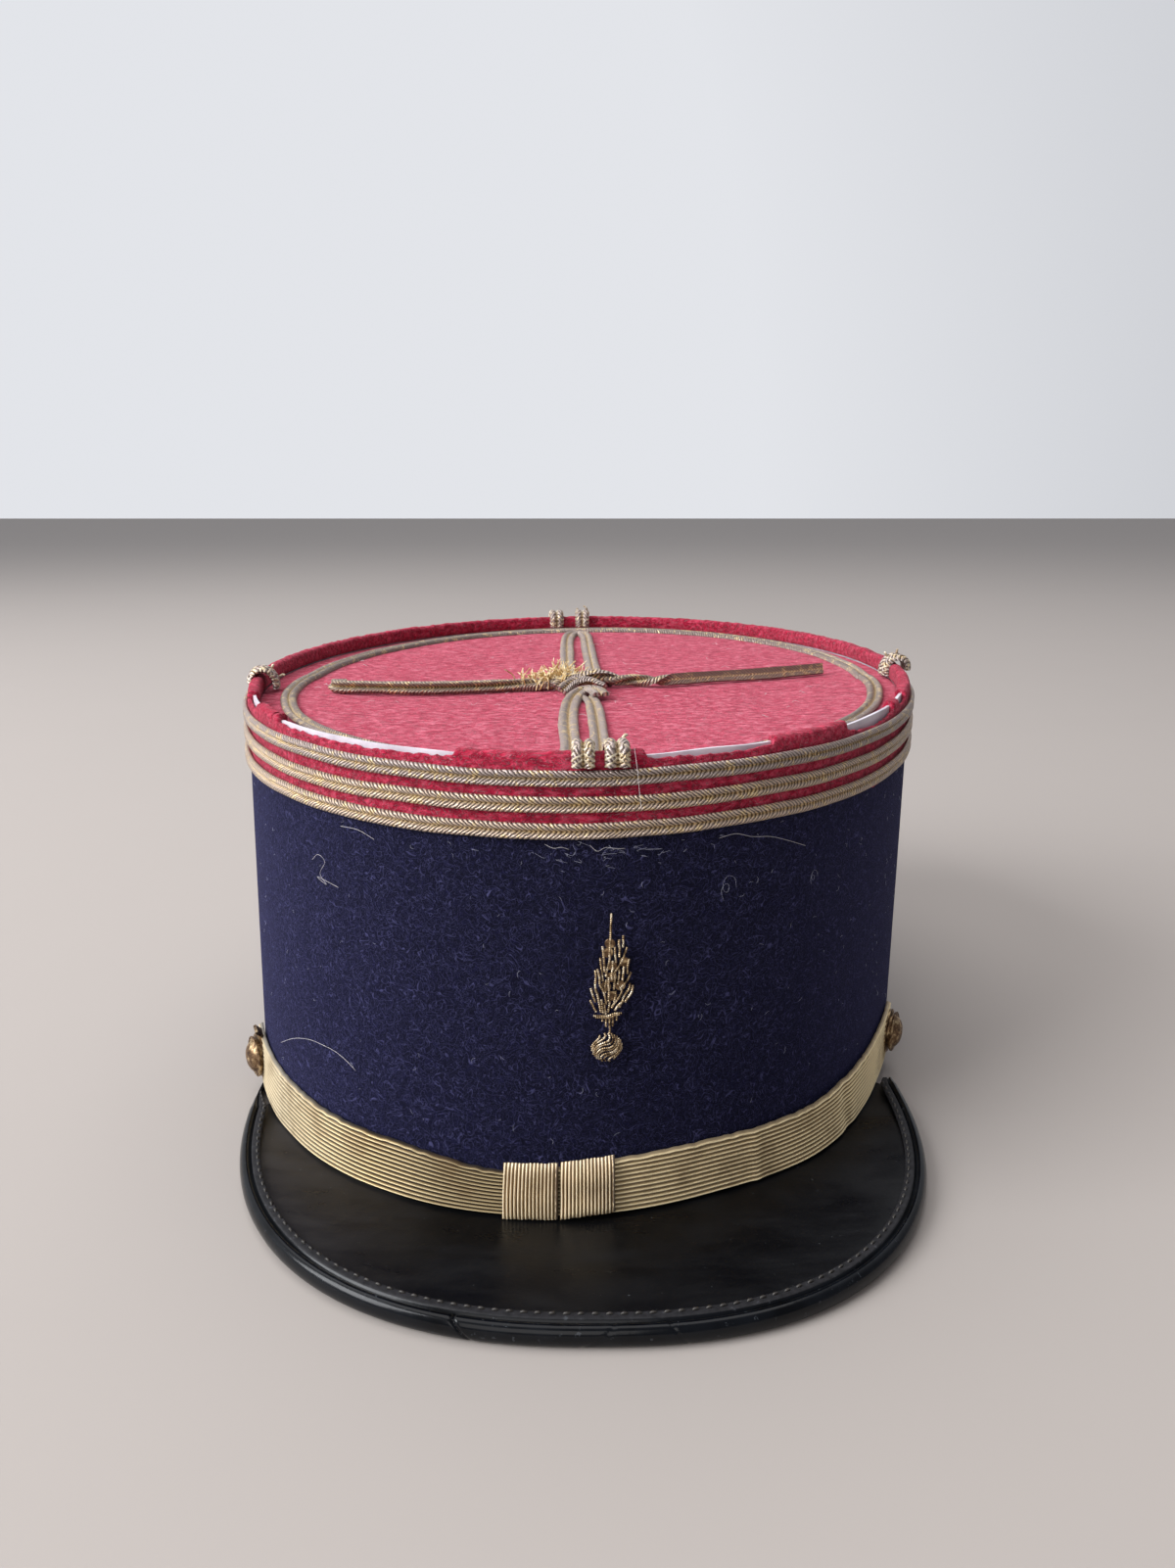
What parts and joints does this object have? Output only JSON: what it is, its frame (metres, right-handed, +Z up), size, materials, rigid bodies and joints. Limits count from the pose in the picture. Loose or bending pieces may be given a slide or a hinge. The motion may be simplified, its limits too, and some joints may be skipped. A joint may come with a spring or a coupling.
{
  "type": "kepi cap",
  "caption": "Round kepi cap with a felt band, sunk cloth crown, flat braids, a laced chin strap with slides and buttons, a wire badge and a bound leather peak.",
  "frame": {"origin": "middle of the footprint's bounding box, on the surface that the cap rests on", "axes": "+Z up, the peak points along -Y, +X is on the right of somebody who looks at the peak"},
  "size_m": [0.1742, 0.2348, 0.1029],
  "materials": {
    "felt": "dark blue wool felt",
    "crown_cloth": "red wool cloth",
    "crown_top_cloth": "red wool cloth, faded",
    "card": "white stiffener, satin",
    "braid": "tarnished metal braid",
    "gold_thread": "gold wire thread",
    "lace": "ribbed gold lace",
    "brass": "aged brass",
    "patent_leather": "scuffed black patent leather"
  },
  "bodies": {
    "root": {"band": "felt", "crown_side": "crown_cloth", "crown_top": "crown_top_cloth", "rim_card": "card", "braid_upper": "braid", "braid_middle": "braid", "braid_lower": "braid", "braid_oval": "braid", "front_loop": "braid", "back_loop": "braid", "cross_bar_left": "braid", "cross_bar_right": "braid", "centre_knot": "braid", "rim_knot_front_left": "gold_thread", "rim_knot_front_right": "gold_thread", "rim_knot_back_left": "gold_thread", "rim_knot_back_right": "gold_thread", "rim_knot_left": "gold_thread", "rim_knot_right": "gold_thread", "badge_flame": "gold_thread", "badge_ball": "gold_thread", "chin_strap": "lace", "slide_left": "lace", "slide_right": "lace", "button_left": "brass", "button_right": "brass", "peak": "patent_leather", "peak_binding": "patent_leather"}
  },
  "joints": []
}
